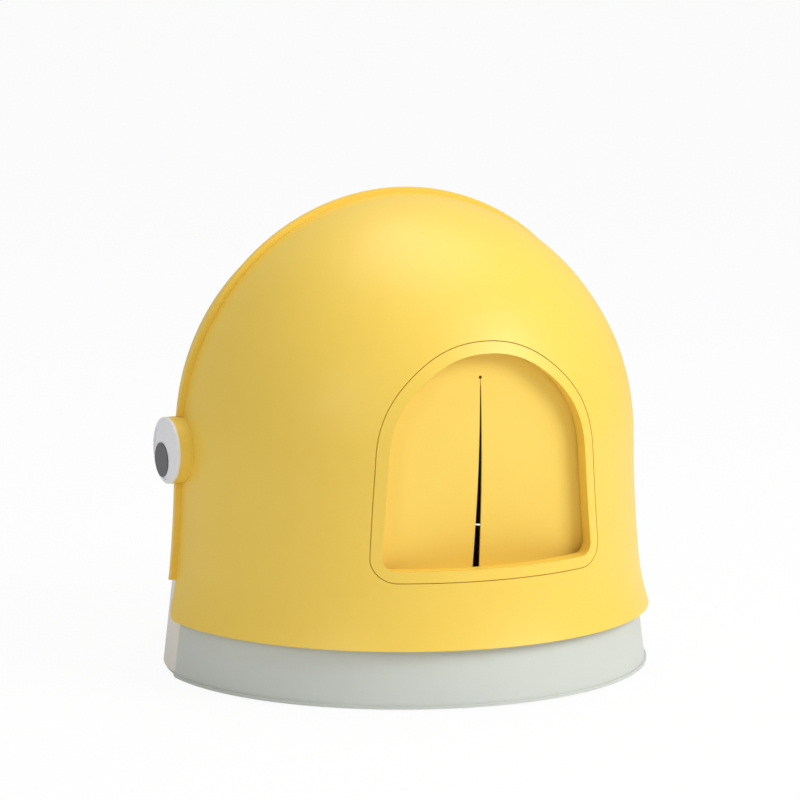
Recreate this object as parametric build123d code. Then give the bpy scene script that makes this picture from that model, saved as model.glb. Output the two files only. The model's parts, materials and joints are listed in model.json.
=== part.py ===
from build123d import *
import os
from math import cos, radians, sin, sqrt

os.makedirs("parts", exist_ok=True)

# Covered litter box. Millimetres, +Z up, +Y towards the rear window, -Y towards the flip-up
# front cover. The origin is on the floor below the middle of the box.

# Overall
overall_height = 460.0
wall = 3.0
part_gap = 0.3            # air between faces of pieces that move past each other
seat_gap = 0.05           # air between curved faces that are seated on each other

# Hood: skirt, side wall and domed top, all round about Z
skirt_radius = 240.0
skirt_bottom_z = 57.0
waist_radius = 230.0
waist_z = 105.0
spring_radius = 224.5
spring_z = 220.0
crown_radius = 219.6      # sphere over the top of the dome
crown_angle = 36.0        # where the sphere starts, above the horizontal
skirt_corner_radius = 16.0

# Raised flange round the open front of the hood
flange_proud = 5.4
flange_thickness = 5.0
flange_front_y = -17.0
flange_foot_z = 94.0
flange_cover_gap = 2.5

# Front cover, turning on the line through both eyes
cover_setback = 13.5       # inside the hood at the pivot height
cover_reach_y = -240.0
cover_bottom_z = 94.5
cover_bottom_spread = 10.0
cover_overlap = 10.0
hub_radius = 18.0
hub_length = 17.7
grip_width = 140.0
grip_depth = 13.0
grip_thickness = 3.5

# Eyes and pivots
eye_radius = 32.0
eye_proud = 15.5           # outside the hood at the pivot height
eye_face_thickness = 3.0
eye_rim_width = 3.5
eye_rim_height = 0.8
eye_edge_round = 1.2
pupil_radius = 16.5
pupil_forward = 10.6
pupil_drop = 10.7
pupil_thickness = 1.4
ear_thickness = 7.5
housing_wall = 3.0
pin_radius = 6.0
pin_running_gap = 0.05
pin_head_radius = 11.0
pin_head_thickness = 3.2
pin_tip_length = 3.0
clip_outer_radius = 10.0
clip_thickness = 1.5
clip_groove_depth = 1.2
small_screw_radius = 1.5
small_screw_head_radius = 3.2
small_screw_head_height = 1.6
eye_screw_offset = 23.0

# Rear window
window_bottom_z = 120.0
window_bottom_half_width = 119.0
window_side_drop = 224.0   # below the overall height
window_side_top_half_width = 111.5
window_shoulder_x = 72.0
window_shoulder_drop = 147.0
window_shoulder_angle = 42.0
window_top_drop = 119.5
window_corner_radius = 22.0
window_ring_width = 10.5
window_seam = 0.8
reveal_depth = 15.0
reveal_wall = 3.0
backing_width = 9.0
flap_plane_y = 180.0
flap_thickness = 1.6
clamp_width = 8.0
clamp_thickness = 3.0
retainer_screw_count = 8

# Flap: two leaves that fold on slanted creases beside a middle slit
slit_width = 1.2
slit_top_drop = 155.0
stop_hole_radius = 1.6
crease_gap = 2.2
crease_foot_x = 92.0
leaf_floor_gap = 1.0

# Base pan
base_setback = 3.8         # inside the skirt
base_front_reach = 205.0
base_taper = 0.12         # inward lean of the wall, per millimetre of height
base_rim_z = 92.0
base_floor_z = 1.5
base_floor_thickness = 3.0
base_lip = 1.8
base_lip_height = 3.0
seam_y = -4.0
seam_width = 2.0
seam_corner_radius = 5.0
rail_x = 120.0
rail_width = 4.0
rail_height = 4.5
rail_length = 300.0
foot_radius = 14.0
foot_x = 150.0
foot_rear_y = 120.0
foot_front_y = -105.0
foot_recess = 1.5
locating_lip_depth = 8.0
locating_gap = 1.2

# Litter tray and drawer front
tray_setback = 28.2        # inside the base
tray_front_reach = 178.0
tray_spread = 6.0
tray_rim_z = 78.0
tray_rim_width = 5.0
runner_width = 3.0
fascia_setback = 1.0       # inside the base
fascia_front_reach = 205.0
fascia_top_z = 93.0
fascia_front_taper = 0.07
fascia_screw_count = 5
boss_radius = 4.5
boss_height = 12.0
notch_width = 96.0
notch_height = 16.0

# Derived places
crown_z = overall_height - flange_proud - crown_radius
cover_half_width = spring_radius - cover_setback
eye_outer_x = spring_radius + eye_proud
ear_outer_x = spring_radius
ear_inner_x = ear_outer_x - ear_thickness
hub_inner_x = ear_inner_x - part_gap - hub_length
base_radius = skirt_radius - base_setback
tray_radius = base_radius - tray_setback
fascia_radius = base_radius - fascia_setback
flange_back_y = flange_front_y + flange_thickness
pivot_y = (flange_front_y + flange_back_y) / 2
cover_radius = pivot_y - cover_reach_y
cover_back_y = pivot_y + cover_overlap
base_floor_top = base_floor_z + base_floor_thickness
tray_floor_z = base_floor_top + rail_height + part_gap
eye_face_back_x = eye_outer_x - eye_face_thickness
leaf_bottom_z = window_bottom_z + leaf_floor_gap
window_side_top_z = overall_height - window_side_drop
window_shoulder_z = overall_height - window_shoulder_drop
window_top_z = overall_height - window_top_drop
slit_top_z = overall_height - slit_top_drop
flap_middle_y = flap_plane_y - flap_thickness / 2
far = 600.0
half_turn = 180


def block(x0, x1, y0, y1, z0, z1):
    """Box between two corners."""
    size = Box(x1 - x0, y1 - y0, z1 - z0)
    return Pos((x0 + x1) / 2, (y0 + y1) / 2, (z0 + z1) / 2) * size


def rod(radius, x0, x1, y=0.0, z=0.0):
    """Cylinder along X."""
    return Pos((x0 + x1) / 2, y, z) * Rot(0, 90, 0) * Cylinder(radius, x1 - x0)


def y_rod(radius, x, y0, y1, z):
    """Cylinder along Y."""
    return Pos(x, (y0 + y1) / 2, z) * Rot(90, 0, 0) * Cylinder(radius, y1 - y0)


def z_rod(radius, x, y, z0, z1):
    """Cylinder along Z."""
    return Pos(x, y, (z0 + z1) / 2) * Cylinder(radius, z1 - z0)


def both_sides(shape):
    """The shape and its mirror image across the YZ plane."""
    return shape, mirror(shape, Plane.YZ)


def hood_profile(inset):
    """Half section of the hood in the XZ plane, moved inwards by inset."""
    skirt = (skirt_radius - inset, skirt_bottom_z)
    waist = (waist_radius - inset, waist_z)
    spring = (spring_radius - inset, spring_z)
    side = TangentArc(spring, waist, tangent=(0, -1))
    flare = TangentArc(waist, skirt, tangent=side % 1)
    crown = CenterArc((0, crown_z), crown_radius - inset, crown_angle, 90 - crown_angle)
    shoulder = Spline(spring, crown @ 0, tangents=((0, 1), crown % 0))
    axis = Polyline(crown @ 1, (0, skirt_bottom_z), skirt)
    return make_face([side, flare, shoulder, crown, axis])


def hood_body(inset):
    """Solid of revolution inside the hood's surface, moved inwards by inset."""
    return revolve(Plane.XZ * hood_profile(inset), Axis.Z)


def window_outline(grow):
    """The window's outer seam as a face in the XZ plane, grown by a given width."""
    foot_x = window_bottom_half_width + grow
    side_x = window_side_top_half_width + grow
    shoulder_x = window_shoulder_x + grow * cos(radians(window_shoulder_angle))
    shoulder_z = window_shoulder_z + grow * sin(radians(window_shoulder_angle))
    bottom_z = window_bottom_z - grow
    top_z = window_top_z + grow
    right_side = Line((foot_x, bottom_z), (side_x, window_side_top_z))
    left_side = Line((-side_x, window_side_top_z), (-foot_x, bottom_z))
    right_crown = Spline((side_x, window_side_top_z), (shoulder_x, shoulder_z), (0, top_z),
                         tangents=(right_side % 1, (-1, 0)))
    left_crown = Spline((0, top_z), (-shoulder_x, shoulder_z), (-side_x, window_side_top_z),
                        tangents=((-1, 0), left_side % 0))
    sill = Line((-foot_x, bottom_z), (foot_x, bottom_z))
    face = make_face([right_side, right_crown, left_crown, left_side, sill])
    return fillet(face.vertices().group_by(Axis.Y)[0], window_corner_radius + grow)


def window_prism(grow, y0, y1):
    """The window outline run along Y from y0 to y1."""
    prism = extrude(Plane.XZ * window_outline(grow), -(y1 - y0))
    return Pos(0, y0, 0) * prism


def base_plan(radius, front_reach):
    """Round at the rear, half an ellipse at the front."""
    rear = Circle(radius) & Pos(0, far / 2) * Rectangle(2 * far, far)
    front = Ellipse(radius, front_reach) & Pos(0, -far / 2) * Rectangle(2 * far, far)
    return rear + front


def cover_section(z, inset):
    """Half width and reach of the front cover at a height below the pivots."""
    drop = spring_z - z
    share = drop / (spring_z - cover_bottom_z)
    half_width = cover_half_width + cover_bottom_spread * share ** 2
    reach = sqrt(cover_radius ** 2 - drop ** 2)
    return half_width - inset, reach - inset


def cover_body(inset):
    """Solid inside the front cover's surface: a spun ellipse over a lofted lower part."""
    arc = EllipticalCenterArc((0, 0), cover_half_width - inset, cover_radius - inset,
                              start_angle=0, arc_size=half_turn)
    face = make_face([arc, Line(arc @ 1, arc @ 0)])
    ball = revolve(face, Axis.X)
    top = Pos(0, pivot_y, spring_z) * ball & block(-far, far, -far, far, spring_z, far)
    heights = [spring_z - (spring_z - cover_bottom_z) * step / 3 for step in range(4)]
    sections = [Pos(0, pivot_y, z) * Ellipse(*cover_section(z, inset)) for z in heights]
    return top + loft(sections)


def cover_arch(gap):
    """Outline of the cover in the plane of the arch, grown by gap, down to the flange foot."""
    half_width = cover_half_width + gap
    low_width = cover_half_width + cover_bottom_spread + gap
    top = EllipticalCenterArc((0, spring_z), half_width, cover_radius + gap,
                              start_angle=0, arc_size=half_turn)
    right = TangentArc((half_width, spring_z), (low_width, cover_bottom_z), tangent=(0, -1))
    left = mirror(right, Plane.YZ)
    foot = Polyline(right @ 1, (low_width, 0), (-low_width, 0), left @ 1)
    return make_face([top, right, left, foot])


def make_hood_shell():
    """Domed shell with its flange, ears, base ledge and window hole."""
    keep = block(-far, far, flange_back_y, far, skirt_bottom_z, far)
    corner = keep.edges().filter_by(Axis.X).group_by(Axis.Z)[0].sort_by(Axis.Y)[0]
    keep = fillet(corner, skirt_corner_radius)
    shell = (hood_body(0) - hood_body(wall)) & keep

    slab = hood_profile(-flange_proud)
    slab = slab + mirror(slab, Plane.YZ) - cover_arch(flange_cover_gap)
    slab = slab & Pos(0, flange_foot_z + far / 2) * Rectangle(2 * far, far)
    flange = Pos(0, flange_back_y, 0) * extrude(Plane.XZ * slab, flange_thickness)
    flange = flange - rod(eye_radius, -ear_inner_x, ear_inner_x, pivot_y, spring_z)
    shell = shell + flange

    ledge_z = base_rim_z + part_gap
    rim_inner = base_radius - wall - base_taper * (base_rim_z - base_floor_top)
    lip_outer = rim_inner - locating_gap
    ring = z_rod(far, 0, 0, ledge_z, ledge_z + wall) - z_rod(lip_outer - wall, 0, 0, 0, far)
    lip = z_rod(lip_outer, 0, 0, ledge_z - locating_lip_depth, ledge_z)
    lip = lip - z_rod(lip_outer - wall, 0, 0, 0, far)
    ledge = (ring & hood_body(wall / 2)) + lip
    shell = shell + (ledge & block(-far, far, 0, far, 0, far))

    for ear in both_sides(rod(eye_radius, ear_inner_x, ear_outer_x, pivot_y, spring_z)):
        shell = shell + ear
    for room in both_sides(rod(eye_radius + part_gap, ear_outer_x, far, pivot_y, spring_z)):
        shell = shell - room
    for bore in both_sides(rod(pin_radius + seat_gap, ear_inner_x - wall, far, pivot_y, spring_z)):
        shell = shell - bore
    for side in (-1, 1):
        place = spring_z + side * eye_screw_offset
        shaft = rod(small_screw_radius, ear_inner_x - wall, far, pivot_y, place)
        head_end = ear_inner_x + small_screw_head_height
        head = rod(small_screw_head_radius, ear_inner_x - wall, head_end, pivot_y, place)
        for hole in both_sides(shaft + head):
            shell = shell - hole
    return shell - window_prism(window_seam, 0, far)


def make_front_cover():
    """Flip-up cover with its hubs and grip."""
    keep = block(-far, far, -far, cover_back_y, cover_bottom_z, far)
    shell = (cover_body(0) - cover_body(wall)) & keep
    hub_out = ear_inner_x - part_gap
    for hub in both_sides(rod(hub_radius, hub_inner_x, hub_out, pivot_y, spring_z)):
        shell = shell + hub
    for bore in both_sides(rod(pin_radius + pin_running_gap, 0, far, pivot_y, spring_z)):
        shell = shell - bore
    half_width, reach = cover_section(cover_bottom_z, wall / 2)
    plate = Ellipse(half_width, reach + grip_depth) - Ellipse(half_width, reach)
    grip = extrude(Pos(0, pivot_y, cover_bottom_z) * plate, grip_thickness)
    grip = grip & block(-grip_width / 2, grip_width / 2, -far, pivot_y - reach / 2, 0, far)
    return shell + grip


def make_pivot_pin():
    """Headed pin that the cover turns on."""
    head_x = hub_inner_x - part_gap
    end_x = ear_outer_x + clip_thickness + pin_tip_length
    pin = rod(pin_head_radius, head_x - pin_head_thickness, head_x, pivot_y, spring_z)
    pin = pin + rod(pin_radius, head_x, end_x, pivot_y, spring_z)
    groove = rod(far, ear_outer_x, ear_outer_x + clip_thickness, pivot_y, spring_z)
    groove = groove - rod(pin_radius - clip_groove_depth, 0, far, pivot_y, spring_z)
    return pin - groove


def make_pivot_clip():
    """Open ring that holds the pin in the ear."""
    inner = pin_radius - clip_groove_depth
    x1 = ear_outer_x + clip_thickness
    clip = rod(clip_outer_radius, ear_outer_x, x1, pivot_y, spring_z)
    clip = clip - rod(inner, 0, far, pivot_y, spring_z)
    mouth = block(0, far, pivot_y - inner, pivot_y + inner, spring_z, spring_z + far)
    return clip - mouth


def make_eye_housing():
    """Round cup on the ear, with two screw bosses inside."""
    cup = rod(eye_radius, ear_outer_x, eye_face_back_x, pivot_y, spring_z)
    room_end = eye_face_back_x - housing_wall
    room = rod(eye_radius - housing_wall, ear_outer_x, room_end, pivot_y, spring_z)
    for side in (-1, 1):
        place = spring_z + side * eye_screw_offset
        room = room - rod(boss_radius, ear_outer_x, room_end, pivot_y, place)
        room = room + rod(small_screw_radius, ear_outer_x, room_end, pivot_y, place)
    return cup - room


def make_eye_screws():
    """Two screws from inside each ear into the housing."""
    end_x = eye_face_back_x - housing_wall
    screws = []
    for side in (-1, 1):
        place = spring_z + side * eye_screw_offset
        head_end = ear_inner_x + small_screw_head_height
        head = rod(small_screw_head_radius, ear_inner_x, head_end, pivot_y, place)
        screws.extend(both_sides(head + rod(small_screw_radius, ear_inner_x, end_x, pivot_y, place)))
    return Compound(children=screws)


def pupil_rod(x0, x1):
    """Cylinder of the pupil, forward of and below the pivot line."""
    return rod(pupil_radius, x0, x1, pivot_y - pupil_forward, spring_z - pupil_drop)


def make_eye_face():
    """White disc with a rounded rim, a shallow face and a pocket for the pupil."""
    disc = rod(eye_radius, eye_face_back_x, eye_outer_x, pivot_y, spring_z)
    disc = fillet(disc.edges().filter_by(GeomType.CIRCLE).sort_by(Axis.X)[-1], eye_edge_round)
    face_x = eye_outer_x - eye_rim_height
    disc = disc - rod(eye_radius - eye_rim_width, face_x, eye_outer_x, pivot_y, spring_z)
    return disc - pupil_rod(face_x - pupil_thickness / 2, eye_outer_x)


def make_eye_pupil():
    """Dark disc seated in the eye face."""
    face_x = eye_outer_x - eye_rim_height
    back_x = face_x - pupil_thickness / 2
    return pupil_rod(back_x, back_x + pupil_thickness)


def make_window_frame():
    """Flush ring, reveal, backing flange, sleeve and flat seat for the flap."""
    opening = -window_ring_width
    ring = window_prism(0, 0, far) - window_prism(opening, 0, far)
    ring = ring & (hood_body(0) - hood_body(wall))
    backing = window_prism(backing_width, 0, far) - window_prism(opening, 0, far)
    under = wall + seat_gap
    backing = backing & (hood_body(under) - hood_body(under + wall))
    neck = window_prism(0, 0, far) - window_prism(opening, 0, far)
    neck = neck & (hood_body(wall / 2) - hood_body(under + wall / 2))
    reveal = window_prism(opening + reveal_wall, 0, far) - window_prism(opening, 0, far)
    reveal = reveal & (hood_body(wall / 2) - hood_body(reveal_depth))
    sleeve = window_prism(reveal_wall, 0, far) - window_prism(0, 0, far)
    sleeve = sleeve & hood_body(under + wall / 2)
    seat = window_prism(clamp_width, flap_plane_y, flap_plane_y + clamp_thickness)
    seat = (seat - window_prism(0, 0, far)) & hood_body(under)
    frame = (ring + backing + neck + reveal + sleeve) & block(-far, far, flap_plane_y, far, 0, far)
    frame = frame + seat
    for x, z in retainer_screw_places():
        frame = frame - y_rod(small_screw_radius, x, 0, flap_plane_y + clamp_thickness, z)
    return frame


def retainer_screw_places():
    """Evenly spaced points along the middle of the clamped border."""
    path = window_outline(clamp_width / 2).face().outer_wire()
    spots = [path.position_at((i + 0.5) / retainer_screw_count) for i in range(retainer_screw_count)]
    return [(spot.X, spot.Y) for spot in spots]


def leaf_face(side, inner_x, low_z, gap):
    """Triangle in the XZ plane between the slit, the crease and a lower edge."""
    slit_x = slit_width / 2
    lean = (crease_foot_x - slit_x) / (slit_top_z - leaf_bottom_z)
    top = (inner_x, slit_top_z + (slit_x + gap - inner_x) / lean)
    outer = (slit_x + gap + (slit_top_z - low_z) * lean, low_z)
    face = make_face(Polyline(top, (inner_x, low_z), outer, close=True))
    return face if side > 0 else mirror(face, Plane.YZ)


def flap_slab(face):
    """A face in the XZ plane given the flap's thickness behind the seat."""
    return Pos(0, flap_plane_y, 0) * extrude(Plane.XZ * face, flap_thickness)


def make_flap_sheet():
    """Clamped sheet with the room for both leaves and the slit's stop hole."""
    sheet = window_outline(clamp_width)
    for side in (-1, 1):
        sheet = sheet - leaf_face(side, 0, window_bottom_z, crease_gap)
    sheet = sheet - Pos(0, slit_top_z) * Circle(stop_hole_radius)
    slab = flap_slab(sheet) & hood_body(wall + part_gap)
    for x, z in retainer_screw_places():
        slab = slab - y_rod(small_screw_radius, x, 0, far, z)
    return slab


def make_flap_leaf(side):
    """One folding leaf, its crease edge fully rounded about the fold line."""
    slit_x = slit_width / 2
    top = Vector(side * slit_x, flap_middle_y, slit_top_z)
    foot = Vector(side * crease_foot_x, flap_middle_y, leaf_bottom_z)
    crease = Plane(origin=(top + foot) / 2, z_dir=foot - top)
    edge = crease * Cylinder(flap_thickness / 2, (foot - top).length)
    leaf = flap_slab(leaf_face(side, slit_x, leaf_bottom_z, 0)) + edge
    room = block(slit_x, far, -far, far, leaf_bottom_z, slit_top_z)
    leaf = leaf & (room if side > 0 else mirror(room, Plane.YZ))
    return leaf - y_rod(stop_hole_radius, 0, 0, far, slit_top_z)


def make_flap_retainer():
    """Inner ring that clamps the flap sheet."""
    back_y = flap_plane_y - flap_thickness
    ring = window_prism(clamp_width, back_y - clamp_thickness, back_y)
    ring = (ring - window_prism(0, 0, far)) & hood_body(wall + part_gap)
    for x, z in retainer_screw_places():
        ring = ring - y_rod(small_screw_radius, x, 0, far, z)
    return ring


def make_retainer_screws():
    """Screws through the ring and the sheet into the frame."""
    back_y = flap_plane_y - flap_thickness - clamp_thickness
    screws = []
    for x, z in retainer_screw_places():
        head = y_rod(small_screw_head_radius, x, back_y - small_screw_head_height, back_y, z)
        screws.append(head + y_rod(small_screw_radius, x, back_y, flap_plane_y + clamp_thickness, z))
    return Compound(children=screws)


def foot_places():
    """Middle of each foot pad."""
    return [(x, y) for x in (-foot_x, foot_x) for y in (foot_front_y, foot_rear_y)]


def make_base_pan():
    """Rear wall, floor plate and drawer rails."""
    floor = extrude(Pos(0, 0, base_floor_z) * base_plan(base_radius - wall, base_front_reach - wall),
                    base_floor_thickness)
    top_radius = base_radius - base_taper * (base_rim_z - base_floor_top)
    lip_radius = base_radius + base_lip
    lip_top = base_floor_z + base_lip_height
    section = Polyline((lip_radius, base_floor_z), (lip_radius, lip_top), (base_radius, lip_top),
                       (top_radius, base_rim_z), (top_radius - wall, base_rim_z),
                       (base_radius - wall, lip_top), (base_radius - wall, base_floor_z), close=True)
    body = revolve(Plane.XZ * make_face(section), Axis.Z)
    rear_y = seam_y + seam_width / 2
    keep = block(-far, far, rear_y, far, base_floor_z, far)
    corner = keep.edges().filter_by(Axis.X).group_by(Axis.Z)[0].sort_by(Axis.Y)[0]
    pan = floor + (body & fillet(corner, seam_corner_radius))
    rail_z = base_floor_top + rail_height
    for rail in both_sides(block(rail_x - rail_width / 2, rail_x + rail_width / 2,
                                 -rail_length / 2, rail_length / 2, base_floor_z, rail_z)):
        pan = pan + rail
    for x, y in foot_places():
        pan = pan - z_rod(foot_radius, x, y, 0, base_floor_z + foot_recess)
    return pan


def make_foot_pads():
    """Rubber pads pressed into the floor plate."""
    pads = [z_rod(foot_radius, x, y, 0, base_floor_z + foot_recess) for x, y in foot_places()]
    return Compound(children=pads)


def tray_body(inset, z0, z1):
    """Tapered solid of the tray between two heights, moved inwards by inset."""
    def section(z):
        spread = tray_spread * (z - tray_floor_z) / (tray_rim_z - tray_floor_z) - inset
        return Pos(0, 0, z) * base_plan(tray_radius + spread, tray_front_reach + spread)
    return loft([section(z0), section(z1)], ruled=True)


def fascia_section(z, inset):
    """Half width and reach of the drawer front at a height."""
    rise = z - base_floor_top
    half_width = fascia_radius - base_taper * rise - inset
    return half_width, fascia_front_reach - fascia_front_taper * rise - inset


def fascia_body(inset, z0, z1):
    """Tapered solid inside the drawer front's outer face."""
    ends = [Pos(0, 0, z) * Ellipse(*fascia_section(z, inset)) for z in (z0, z1)]
    return loft(ends, ruled=True)


def fascia_screw_places():
    """Points along the front of the tray rim."""
    half_width = tray_radius + tray_spread + tray_rim_width / 2
    reach = tray_front_reach + tray_spread + tray_rim_width / 2
    angles = [-150 + 120 * i / (fascia_screw_count - 1) for i in range(fascia_screw_count)]
    return [(half_width * cos(radians(a)), reach * sin(radians(a))) for a in angles]


def make_litter_tray():
    """Sliding pan with a rim, runners and screw bosses."""
    tray = tray_body(0, tray_floor_z, tray_rim_z)
    for x, y in fascia_screw_places():
        tray = tray + z_rod(boss_radius, x, y, tray_rim_z - boss_height, tray_rim_z)
    reach = tray_front_reach + tray_spread + tray_rim_width
    rim = Pos(0, 0, tray_rim_z - wall) * base_plan(tray_radius + tray_spread + tray_rim_width, reach)
    tray = tray + extrude(rim, wall)
    tray = tray - tray_body(wall, tray_floor_z + wall, tray_rim_z)
    inner_x = rail_x + rail_width / 2 + part_gap
    low_z = base_floor_top + part_gap
    for runner in both_sides(block(inner_x, inner_x + runner_width, -rail_length / 2, rail_length / 2,
                                   low_z, tray_floor_z + wall / 2)):
        tray = tray + runner
    for x, y in fascia_screw_places():
        tray = tray - z_rod(small_screw_radius, x, y, tray_rim_z - boss_height + wall, tray_rim_z)
    return tray


def make_drawer_front():
    """Curved white front with an inner ledge and a finger notch."""
    bottom_z = base_floor_top + part_gap
    front = fascia_body(0, bottom_z, fascia_top_z) - fascia_body(wall, bottom_z, fascia_top_z)
    ledge = fascia_body(wall / 2, tray_rim_z, tray_rim_z + wall)
    hollow = Pos(0, 0, tray_rim_z) * Ellipse(tray_radius + tray_spread, tray_front_reach + tray_spread)
    front = front + (ledge - extrude(hollow, wall))
    front_y = seam_y - seam_width / 2
    keep = block(-far, far, -far, front_y, bottom_z, far)
    corner = keep.edges().filter_by(Axis.X).group_by(Axis.Z)[0].sort_by(Axis.Y)[-1]
    front = front & fillet(corner, seam_corner_radius)
    notch = Rectangle(notch_width, 2 * notch_height)
    notch = fillet(notch.vertices().group_by(Axis.Y)[-1], notch_height / 2)
    front = front - extrude(Plane.XZ * (Pos(0, bottom_z) * notch), far)
    for x, y in fascia_screw_places():
        front = front - z_rod(small_screw_radius, x, y, tray_rim_z, tray_rim_z + wall)
    return front


def make_drawer_screws():
    """Screws through the ledge of the drawer front into the tray."""
    top_z = tray_rim_z + wall
    screws = []
    for x, y in fascia_screw_places():
        head = z_rod(small_screw_head_radius, x, y, top_z, top_z + small_screw_head_height)
        shaft = z_rod(small_screw_radius, x, y, tray_rim_z - boss_height + wall, top_z)
        screws.append(head + shaft)
    return Compound(children=screws)


def write(name, shape):
    """Save one piece."""
    export_step(shape, f"parts/{name}.step")


write("base_pan", make_base_pan())
write("foot_pads", make_foot_pads())
write("litter_tray", make_litter_tray())
write("drawer_front", make_drawer_front())
write("drawer_screws", make_drawer_screws())
write("hood_shell", make_hood_shell())
write("window_frame", make_window_frame())
write("flap_sheet", make_flap_sheet())
write("flap_retainer", make_flap_retainer())
write("retainer_screws", make_retainer_screws())
write("flap_leaf_left", make_flap_leaf(1))
write("flap_leaf_right", make_flap_leaf(-1))
write("front_cover", make_front_cover())
write("eye_screws", make_eye_screws())
for piece, maker in (("pivot_pin", make_pivot_pin), ("pivot_clip", make_pivot_clip),
                     ("eye_housing", make_eye_housing), ("eye_face", make_eye_face),
                     ("eye_pupil", make_eye_pupil)):
    left, right = both_sides(maker())
    write(f"{piece}_left", left)
    write(f"{piece}_right", right)
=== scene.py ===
import json
import math

import bmesh
import bpy
from mathutils import Matrix, Vector


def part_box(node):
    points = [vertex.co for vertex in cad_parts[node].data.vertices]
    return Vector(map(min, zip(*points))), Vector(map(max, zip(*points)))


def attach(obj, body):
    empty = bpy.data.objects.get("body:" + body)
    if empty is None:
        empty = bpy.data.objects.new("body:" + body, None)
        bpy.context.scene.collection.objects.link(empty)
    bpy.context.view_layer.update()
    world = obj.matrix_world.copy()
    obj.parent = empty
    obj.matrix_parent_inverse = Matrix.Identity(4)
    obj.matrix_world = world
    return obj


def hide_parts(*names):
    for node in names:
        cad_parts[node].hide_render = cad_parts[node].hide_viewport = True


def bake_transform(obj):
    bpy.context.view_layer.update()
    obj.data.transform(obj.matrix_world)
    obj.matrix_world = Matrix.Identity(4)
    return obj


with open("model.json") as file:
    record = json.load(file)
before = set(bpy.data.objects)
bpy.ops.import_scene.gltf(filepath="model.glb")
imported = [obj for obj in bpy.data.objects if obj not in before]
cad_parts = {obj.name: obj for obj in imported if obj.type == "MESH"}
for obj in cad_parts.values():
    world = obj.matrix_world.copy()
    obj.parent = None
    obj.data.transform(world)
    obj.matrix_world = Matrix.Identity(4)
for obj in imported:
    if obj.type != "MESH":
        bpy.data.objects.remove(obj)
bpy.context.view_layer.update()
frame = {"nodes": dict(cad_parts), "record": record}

MM = 0.001

# Camera, fitted to the outline of the box in the photograph
IMAGE_SIZE = 800
FOCAL_PIXELS = 6234.1
CAMERA_REACH = 5.9355
CAMERA_HEIGHT = 1.2836
CAMERA_PITCH = 0.1717
CAMERA_SIDE = 0.00138
WINDOW_TURN = 0.4160
SENSOR_WIDTH = 36.0

# Flap
SLIT_TOP = 305 * MM
SLIT_OPEN = 4.5 * MM
SLIT_GAP = 0.5 * MM
STOP_HOLE_RADIUS = 1.6 * MM
CREASE_FOOT = 92 * MM
BORDER_SIDE_TOP = 236 * MM
BORDER_INSET = 3.5 * MM
BORDER_CORNER = 24 * MM
FLAP_THICKNESS = 1.6 * MM
FLAP_BOW = 3.0 * MM
LEAF_LIFT = 1.0 * MM
FLAP_BULGE = 6.0 * MM
HOLE_STEPS = 12
SLIT_HALF_WIDTH = 0.6 * MM
BORDER_LEAN = 7.5 * MM
BORDER_ROUNDNESS = 1.8
FLAP_COLUMNS = 48
FLAP_ROWS = 96
TOP_EDGE_WIDTH = 0.2 * MM
SILL_GAP = 1.5 * MM
SLIT_EASE = 20
FOLD_RISE = 1.6
SHARP_ANGLE = math.radians(40)

# Screws
SCREW_HEAD_RADIUS = 3.2 * MM
SCREW_HEAD_HEIGHT = 1.6 * MM
SCREW_SHAFT_RADIUS = 1.5 * MM
SCREW_SIDES = 32
HEAD_TOP_SHARE = 0.8
RECESS_LENGTH = 1.05
RECESS_WIDTH = 0.26
RECESS_CENTRE = 0.9       # as a share of the head's height

# Studio
FLOOR_RADIUS = 45.0
FLOOR_SIDES = 96
FLOOR_GLOW = 0.93
WORLD_STRENGTH = 0.50


def srgb(red, green, blue):
    """A colour as it looks on screen, from 0 to 255, as linear values."""
    def linear(channel):
        share = channel / 255
        return share / 12.92 if share <= 0.04045 else ((share + 0.055) / 1.055) ** 2.4
    return (linear(red), linear(green), linear(blue), 1.0)


class Value:
    """A socket's number, which adds Math nodes when it is used in a sum."""

    def __init__(self, finish, socket):
        self.finish = finish
        self.socket = socket

    def combine(self, operation, first, second):
        """One Math node with two inputs."""
        node = self.finish.node("ShaderNodeMath", {"operation": operation}, {0: first, 1: second})
        return Value(self.finish, node.outputs[0])

    def __add__(self, other):
        return self.combine("ADD", self, other)

    def __radd__(self, other):
        return self.combine("ADD", other, self)

    def __mul__(self, other):
        return self.combine("MULTIPLY", self, other)


class NodeTree:
    """A node tree under construction."""

    def node(self, kind, settings=None, sockets=None):
        """Adds a node, sets its settings and then its sockets' values or links."""
        node = self.tree.nodes.new(kind)
        for key, value in (settings or {}).items():
            setattr(node, key, value)
        for key, value in (sockets or {}).items():
            source = value.socket if isinstance(value, Value) else value
            if isinstance(source, bpy.types.NodeSocket):
                self.tree.links.new(source, node.inputs[key])
            else:
                node.inputs[key].default_value = source
        return node


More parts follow.
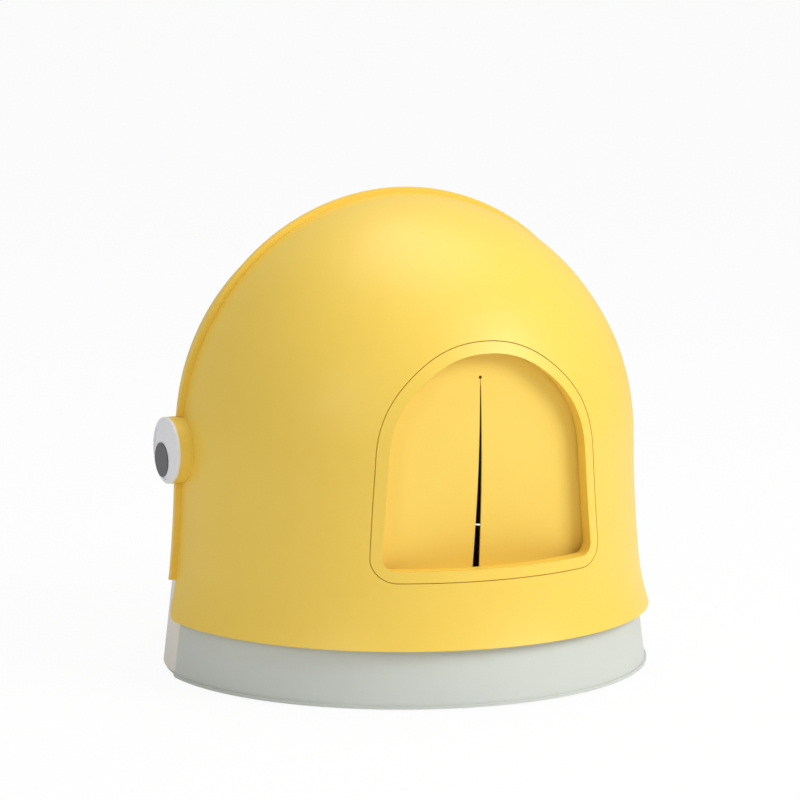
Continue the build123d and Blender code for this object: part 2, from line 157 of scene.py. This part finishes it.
class Finish(NodeTree):
    """A material under construction."""

    def __init__(self, name):
        self.material = bpy.data.materials.new(name)
        self.material.use_nodes = True
        self.tree = self.material.node_tree
        self.tree.nodes.clear()
        self.place = self.node("ShaderNodeTexCoord").outputs["Object"]

    def noise(self, scale, detail=3.0, roughness=0.5):
        """Noise between 0 and 1, in object space."""
        node = self.node("ShaderNodeTexNoise", None, {"Vector": self.place, "Scale": scale,
                                                      "Detail": detail, "Roughness": roughness})
        return Value(self, node.outputs[0])

    def mixed(self, factor, first, second):
        """A colour between two colours."""
        node = self.node("ShaderNodeMix", {"data_type": "RGBA"}, {0: factor, 6: first, 7: second})
        return node.outputs[2]

    def bump(self, height, distance, strength=1.0):
        """A normal from a height."""
        node = self.node("ShaderNodeBump", None, {"Height": height, "Distance": distance,
                                                  "Strength": strength})
        return node.outputs[0]

    def surface(self, sockets):
        """Ends the material in one Principled shader."""
        shader = self.node("ShaderNodeBsdfPrincipled", None, sockets)
        self.node("ShaderNodeOutputMaterial", None, {"Surface": shader.outputs[0]})
        return self.material


def moulded(name, light, dark, roughness, specular=0.5, grain=0.00002, coat=0.0):
    """Moulded plastic: a fine satin grain, faint flow marks and a slightly uneven gloss."""
    finish = Finish(name)
    drift = finish.noise(7.0, 2.0)
    mottle = finish.noise(60.0, 3.0)
    fine = finish.noise(1600.0, 2.0)
    swell = finish.noise(14.0, 1.0)
    colour = finish.mixed(drift * 0.7 + mottle * 0.3, light, dark)
    height = fine * 0.35 + swell * 3.0
    return finish.surface({
        "Base Color": colour,
        "Roughness": roughness - 0.04 + drift * 0.04 + mottle * 0.04,
        "Specular IOR Level": specular,
        "Coat Weight": coat,
        "Coat Roughness": 0.3,
        "Normal": finish.bump(height, grain),
    })


def soft_sheet(name, light, dark):
    """Soft flexible sheet: matt, with faint waves and a fine grain."""
    finish = Finish(name)
    drift = finish.noise(9.0, 2.0)
    fine = finish.noise(1300.0, 2.0)
    colour = finish.mixed(drift, light, dark)
    return finish.surface({
        "Base Color": colour,
        "Roughness": 0.5 + drift * 0.08,
        "Specular IOR Level": 0.35,
        "Subsurface Weight": 0.12,
        "Subsurface Radius": (0.02, 0.012, 0.004),
        "Subsurface Scale": 0.25,
        "Normal": finish.bump(fine, 0.00001),
    })


def rubber_finish(name):
    """Matt black rubber with a dusty bloom."""
    finish = Finish(name)
    bloom = finish.noise(120.0, 4.0)
    return finish.surface({
        "Base Color": finish.mixed(bloom, srgb(26, 26, 27), srgb(48, 48, 47)),
        "Roughness": 0.7 + bloom * 0.2,
        "Normal": finish.bump(finish.noise(900.0), 0.00003),
    })


def steel_finish(name):
    """Plated steel screws and clips."""
    finish = Finish(name)
    wear = finish.noise(300.0, 4.0)
    return finish.surface({
        "Base Color": finish.mixed(wear, srgb(176, 176, 172), srgb(128, 128, 126)),
        "Metallic": 1.0,
        "Roughness": 0.28 + wear * 0.2,
        "Normal": finish.bump(wear, 0.00002),
    })


FINISHES = {
    "yellow_plastic": moulded("yellow plastic", srgb(243, 208, 88), srgb(239, 201, 78), 0.4),
    "cover_yellow": moulded("cover plastic", srgb(243, 208, 88), srgb(239, 201, 78), 0.4),
    "grey_plastic": moulded("grey plastic", srgb(206, 210, 203), srgb(199, 204, 197), 0.46),
    "white_plastic": moulded("white plastic", srgb(236, 230, 221), srgb(230, 224, 214), 0.44),
    "tray_plastic": moulded("tray plastic", srgb(208, 209, 203), srgb(198, 200, 194), 0.5),
    "flap_soft": soft_sheet("soft flap", srgb(244, 210, 98), srgb(240, 202, 88)),
    "rubber": rubber_finish("black rubber"),
    "steel": steel_finish("plated steel"),
    "pin_plastic": moulded("pin nylon", srgb(222, 219, 208), srgb(210, 207, 196), 0.4),
    "eye_white": moulded("eye white", srgb(236, 237, 240), srgb(230, 231, 235), 0.3, 0.5, 0.00001, 0.2),
    "eye_black": moulded("eye black", srgb(52, 54, 60), srgb(44, 46, 52), 0.3, 0.5, 0.00001, 0.2),
}


def dress_frame():
    """Gives every node of the frame its finish."""
    slots = {part["node"]: part["material_slot"] for part in frame["record"]["subparts"]}
    for name, node in frame["nodes"].items():
        node.data.materials.clear()
        node.data.materials.append(FINISHES[slots[name]])


def new_piece(name, mesh, body, slot):
    """Links a finished mesh as a piece that rides on a body, or on none yet."""
    piece = bpy.data.objects.new(name, mesh)
    bpy.context.scene.collection.objects.link(piece)
    mesh.materials.append(FINISHES[slot])
    if body:
        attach(piece, body)
    return piece


def border_x(z, low, high, foot_x, side_x):
    """Half width of the flap's clamped outline at a height."""
    if z <= BORDER_SIDE_TOP:
        x = foot_x + (side_x - foot_x) * (z - low) / (BORDER_SIDE_TOP - low)
        rise = z - low
        if rise < BORDER_CORNER:
            drop = BORDER_CORNER - rise
            x -= BORDER_CORNER - math.sqrt(BORDER_CORNER ** 2 - drop ** 2)
        return x
    share = (z - BORDER_SIDE_TOP) / (high - BORDER_SIDE_TOP)
    return side_x * math.sqrt(max(0.0, 1 - share ** BORDER_ROUNDNESS))


def flap_half(side):
    """One half of the flap, from the middle slit to the clamped border."""
    low_corner, high_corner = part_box("flap_sheet")
    leaf_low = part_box("flap_leaf_left")[0]
    seat_y = high_corner.y
    low = low_corner.z + BORDER_INSET
    high = high_corner.z - BORDER_INSET
    foot_x = high_corner.x - BORDER_INSET
    side_x = foot_x - BORDER_LEAN
    floor_z = leaf_low.z
    mesh = bmesh.new()
    grid = []
    heights = [floor_z + (high - floor_z) * row / FLAP_ROWS for row in range(FLAP_ROWS + 1)]
    heights = [z for z in heights if abs(z - SLIT_TOP) > STOP_HOLE_RADIUS]
    heights += [SLIT_TOP + STOP_HOLE_RADIUS * math.cos(math.pi * step / HOLE_STEPS)
                for step in range(HOLE_STEPS + 1)]
    for z in sorted(heights):
        share = (z - floor_z) / (high - floor_z)
        hole_x = math.sqrt(max(0.0, STOP_HOLE_RADIUS ** 2 - (z - SLIT_TOP) ** 2))
        below = max(0.0, (SLIT_TOP - z) / (SLIT_TOP - floor_z))
        slit_x = SLIT_GAP * min(1.0, below * SLIT_EASE) + (SLIT_OPEN * below if side > 0 else 0.0)
        slit_x = max(slit_x, hole_x)
        edge_x = max(border_x(max(z, low), low, high, foot_x, side_x), slit_x + TOP_EDGE_WIDTH)
        line = []
        for column in range(FLAP_COLUMNS + 1):
            u = column / FLAP_COLUMNS
            x = slit_x + (edge_x - slit_x) * u
            inside = (1 - u * u) * math.sin(math.pi * share)
            fold = below ** FOLD_RISE * (1 - u) ** 2
            y = seat_y + FLAP_BULGE * inside
            y -= (FLAP_BOW if side > 0 else -LEAF_LIFT) * fold
            line.append(mesh.verts.new((side * x, y, z)))
        grid.append(line)
    for lower, upper in zip(grid, grid[1:]):
        for column in range(FLAP_COLUMNS):
            corners = (lower[column], lower[column + 1], upper[column + 1], upper[column])
            mesh.faces.new(corners if side > 0 else corners[::-1])
    bmesh.ops.recalc_face_normals(mesh, faces=mesh.faces)
    data = bpy.data.meshes.new("flap_half")
    mesh.to_mesh(data)
    mesh.free()
    name = "left" if side > 0 else "right"
    piece = new_piece(f"flap_half_{name}", data, None, "flap_soft")
    solid = piece.modifiers.new("thickness", "SOLIDIFY")
    solid.thickness = FLAP_THICKNESS
    solid.offset = -1.0 if data.polygons[0].normal.y > 0 else 1.0
    data.polygons.foreach_set("use_smooth", [True] * len(data.polygons))
    bake_modifiers(piece)
    piece.data.set_sharp_from_angle(angle=SHARP_ANGLE)
    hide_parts(f"flap_leaf_{name}", "flap_sheet")
    top = Vector((side * SLIT_HALF_WIDTH, seat_y, SLIT_TOP))
    foot = Vector((side * CREASE_FOOT, seat_y, floor_z))
    along = (foot - top).normalized()
    outward = Vector((-along.z, 0, along.x))
    if outward.x * side < 0:
        outward = -outward
    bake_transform(piece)
    return piece


def flap_sill():
    """The clamped lower border of the flap, a thin slab that rides on the hood."""
    low_corner, high_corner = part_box("flap_sheet")
    leaf_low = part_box("flap_leaf_left")[0]
    half_width = high_corner.x - BORDER_INSET - BORDER_CORNER / 3
    low = Vector((-half_width, high_corner.y - FLAP_THICKNESS, low_corner.z + BORDER_INSET / 2))
    high = Vector((half_width, high_corner.y, leaf_low.z - SILL_GAP))
    mesh = bmesh.new()
    bmesh.ops.create_cube(mesh, size=1.0)
    for vertex in mesh.verts:
        vertex.co = (low + high) / 2 + Matrix.Diagonal(high - low) @ vertex.co
    data = bpy.data.meshes.new("flap_sill")
    mesh.to_mesh(data)
    mesh.free()
    new_piece("flap_sill", data, "hood", "flap_soft")


def bake_modifiers(piece):
    """Turns a piece and its live modifiers into a plain mesh."""
    graph = bpy.context.evaluated_depsgraph_get()
    solid = bpy.data.meshes.new_from_object(piece.evaluated_get(graph))
    piece.modifiers.clear()
    piece.data = solid


class ScrewTree(NodeTree):
    """Geometry Nodes tree that puts one recessed pan-head screw on each point."""

    def __init__(self, slot):
        self.tree = bpy.data.node_groups.new("screws", "GeometryNodeTree")
        self.keys = {}
        for name, kind in (("Points", "NodeSocketGeometry"), ("Head Radius", "NodeSocketFloat"),
                           ("Head Height", "NodeSocketFloat"), ("Shaft Radius", "NodeSocketFloat"),
                           ("Shaft Length", "NodeSocketFloat"), ("Seed", "NodeSocketInt")):
            item = self.tree.interface.new_socket(name, in_out="INPUT", socket_type=kind)
            self.keys[name] = item.identifier
        self.tree.interface.new_socket("Screws", in_out="OUTPUT", socket_type="NodeSocketGeometry")
        self.given = self.node("NodeGroupInput").outputs
        self.build(slot)

    def scaled(self, socket, factor):
        """A size times a number."""
        return self.node("ShaderNodeMath", {"operation": "MULTIPLY"}, {0: socket, 1: factor}).outputs[0]

    def vector(self, x, y, z):
        """A vector from three numbers or sockets."""
        return self.node("ShaderNodeCombineXYZ", None, {0: x, 1: y, 2: z}).outputs[0]

    def moved(self, mesh, offset):
        """A mesh moved by an offset."""
        node = self.node("GeometryNodeTransform", None, {"Geometry": mesh, "Translation": offset})
        return node.outputs[0]

    def build(self, slot):
        """Head, cross recess and shaft, instanced, made real and given their finish."""
        radius, height = self.given["Head Radius"], self.given["Head Height"]
        head = self.node("GeometryNodeMeshCone", None, {
            "Vertices": SCREW_SIDES, "Radius Top": self.scaled(radius, HEAD_TOP_SHARE),
            "Radius Bottom": radius, "Depth": height}).outputs["Mesh"]
        long_side = self.scaled(radius, RECESS_LENGTH)
        short_side = self.scaled(radius, RECESS_WIDTH)
        cutters = self.node("GeometryNodeJoinGeometry")
        for width, depth in ((long_side, short_side), (short_side, long_side)):
            bar = self.node("GeometryNodeMeshCube", None, {"Size": self.vector(width, depth, height)})
            lift = self.vector(0.0, 0.0, self.scaled(height, RECESS_CENTRE))
            placed = self.moved(bar.outputs["Mesh"], lift)
            self.tree.links.new(placed, cutters.inputs[0])
        recessed = self.node("GeometryNodeMeshBoolean", {"operation": "DIFFERENCE"},
                             {0: head, 1: cutters.outputs[0]})
        shaft = self.node("GeometryNodeMeshCylinder", None, {
            "Vertices": SCREW_SIDES, "Radius": self.given["Shaft Radius"],
            "Depth": self.given["Shaft Length"]}).outputs["Mesh"]
        shaft = self.moved(shaft, self.vector(0.0, 0.0, self.scaled(self.given["Shaft Length"], -0.5)))
        screw = self.node("GeometryNodeJoinGeometry")
        self.tree.links.new(recessed.outputs[0], screw.inputs[0])
        self.tree.links.new(shaft, screw.inputs[0])
        aim = self.node("GeometryNodeInputNamedAttribute", {"data_type": "FLOAT_VECTOR"},
                        {"Name": "aim"})
        facing = self.node("FunctionNodeAlignRotationToVector", {"axis": "Z"},
                           {"Vector": aim.outputs[0]})
        spin = self.node("FunctionNodeRandomValue", {"data_type": "FLOAT"},
                         {2: 0.0, 3: math.pi, "Seed": self.given["Seed"]})
        turn = self.node("FunctionNodeAxisAngleToRotation", None,
                         {"Axis": (0.0, 0.0, 1.0), "Angle": spin.outputs[1]})
        rotation = self.node("FunctionNodeRotateRotation", {"rotation_space": "LOCAL"},
                             {0: facing.outputs[0], 1: turn.outputs[0]})
        placed = self.node("GeometryNodeInstanceOnPoints", None, {
            "Points": self.given["Points"], "Instance": screw.outputs[0],
            "Rotation": rotation.outputs[0]})
        real = self.node("GeometryNodeRealizeInstances", None, {0: placed.outputs[0]})
        ended = self.node("GeometryNodeSetMaterial", None,
                          {"Geometry": real.outputs[0], "Material": FINISHES[slot]})
        self.node("NodeGroupOutput", None, {0: ended.outputs[0]})


def loose_boxes(node):
    """The bounding corners of each separate solid in a CAD node's mesh."""
    mesh = bmesh.new()
    mesh.from_mesh(frame["nodes"][node].data)
    mesh.transform(frame["nodes"][node].matrix_world)
    bmesh.ops.remove_doubles(mesh, verts=mesh.verts, dist=1e-6)
    left = set(mesh.verts)
    boxes = []
    while left:
        island, queue = [], [left.pop()]
        while queue:
            vertex = queue.pop()
            island.append(vertex.co.copy())
            for edge in vertex.link_edges:
                other = edge.other_vert(vertex)
                if other in left:
                    left.remove(other)
                    queue.append(other)
        boxes.append([Vector(map(pick, zip(*island))) for pick in (min, max)])
    mesh.free()
    return sorted(boxes, key=lambda box: tuple(box[0]))


def screws(node, body, tree, seed, aim_of):
    """Replaces a CAD node of plain screws by recessed ones at the same places."""
    boxes = loose_boxes(node)
    points, aims = [], []
    for low, high in boxes:
        aim = aim_of((low + high) / 2)
        middle, half = (low + high) / 2, (high - low) / 2
        reach = abs(half.dot(aim))
        points.append(middle + aim * (reach - SCREW_HEAD_HEIGHT))
        aims.extend(aim)
    data = bpy.data.meshes.new(node)
    data.from_pydata(points, [], [])
    data.attributes.new("aim", "FLOAT_VECTOR", "POINT").data.foreach_set("vector", aims)
    piece = new_piece(f"recessed_{node}", data, None, "steel")
    solver = piece.modifiers.new("screws", "NODES")
    solver.node_group = tree.tree
    for name, value in (("Head Radius", SCREW_HEAD_RADIUS), ("Head Height", SCREW_HEAD_HEIGHT),
                        ("Shaft Radius", SCREW_SHAFT_RADIUS), ("Seed", seed),
                        ("Shaft Length", 2 * reach - SCREW_HEAD_HEIGHT)):
        solver[tree.keys[name]] = value
    bake_modifiers(piece)
    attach(piece, body)
    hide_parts(node)


def make_floor():
    """Plain white floor and backdrop in one sweep, with a soft contact shadow."""
    finish = Finish("studio white")
    camera_ray = finish.node("ShaderNodeLightPath").outputs["Is Camera Ray"]
    paint = finish.node("ShaderNodeBsdfDiffuse", None, {"Color": (0.86, 0.86, 0.86, 1.0)})
    glow = finish.node("ShaderNodeEmission", None, {"Color": (1.0, 1.0, 1.0, 1.0), "Strength": 1.0})
    share = Value(finish, camera_ray) * FLOOR_GLOW
    both = finish.node("ShaderNodeMixShader", None, {0: share, 1: paint.outputs[0], 2: glow.outputs[0]})
    finish.node("ShaderNodeOutputMaterial", None, {"Surface": both.outputs[0]})
    mesh = bmesh.new()
    bmesh.ops.create_circle(mesh, cap_ends=True, segments=FLOOR_SIDES, radius=FLOOR_RADIUS)
    data = bpy.data.meshes.new("studio_floor")
    mesh.to_mesh(data)
    mesh.free()
    floor = bpy.data.objects.new("studio_floor", data)
    bpy.context.scene.collection.objects.link(floor)
    data.materials.append(finish.material)


def image_axes():
    """The photograph's right-hand and away directions on the floor."""
    right = Vector((-math.cos(WINDOW_TURN), math.sin(WINDOW_TURN), 0))
    away = Vector((-math.sin(WINDOW_TURN), -math.cos(WINDOW_TURN), 0))
    return right, away


def soft_light(name, right, toward, up, size, power, aim_up=0.22, colour=(1.0, 1.0, 1.0)):
    """Square softbox placed by its distance right of, towards and above the box."""
    right_axis, away_axis = image_axes()
    lamp = bpy.data.lights.new(name, "AREA")
    lamp.shape = "SQUARE"
    lamp.size = size
    lamp.energy = power
    lamp.color = colour
    holder = bpy.data.objects.new(name, lamp)
    holder.location = right_axis * right - away_axis * toward + Vector((0, 0, up))
    aim = Vector((0, 0, aim_up)) - holder.location
    holder.rotation_euler = aim.to_track_quat("-Z", "Y").to_euler()
    bpy.context.scene.collection.objects.link(holder)


def make_lights():
    """Even white surroundings with softboxes at the right, above and at the left."""
    world = bpy.data.worlds.new("studio")
    bpy.context.scene.world = world
    world.use_nodes = True
    background = world.node_tree.nodes["Background"]
    background.inputs["Color"].default_value = (1.0, 1.0, 1.0, 1.0)
    background.inputs["Strength"].default_value = WORLD_STRENGTH
    soft_light("right_softbox", 2.4, 1.3, 1.9, 1.6, 58.0)
    soft_light("top_softbox", 0.2, -0.4, 2.6, 1.8, 22.0)
    soft_light("left_softbox", -1.3, 2.4, 1.3, 0.6, 7.0)


def make_camera():
    """Camera at the photograph's viewpoint."""
    right_axis, away_axis = image_axes()
    lens = bpy.data.cameras.new("photo_camera")
    lens.sensor_fit = "HORIZONTAL"
    lens.sensor_width = SENSOR_WIDTH
    lens.lens = SENSOR_WIDTH * FOCAL_PIXELS / IMAGE_SIZE
    lens.clip_end = 50.0
    camera = bpy.data.objects.new("photo_camera", lens)
    place = -right_axis * CAMERA_SIDE - away_axis * CAMERA_REACH
    camera.location = place + Vector((0, 0, CAMERA_HEIGHT))
    look = away_axis * math.cos(CAMERA_PITCH) - Vector((0, 0, math.sin(CAMERA_PITCH)))
    camera.rotation_euler = look.to_track_quat("-Z", "Y").to_euler()
    bpy.context.scene.collection.objects.link(camera)
    bpy.context.scene.camera = camera


dress_frame()
flap_half(1)
flap_half(-1)
flap_sill()
screw_tree = ScrewTree("steel")
screws("drawer_screws", "drawer", screw_tree, 1, lambda middle: Vector((0, 0, 1)))
screws("retainer_screws", "hood", screw_tree, 2, lambda middle: Vector((0, -1, 0)))
screws("eye_screws", "hood", screw_tree, 3, lambda middle: Vector((-math.copysign(1, middle.x), 0, 0)))
make_floor()
make_lights()
make_camera()
bpy.context.scene.view_settings.view_transform = "Standard"
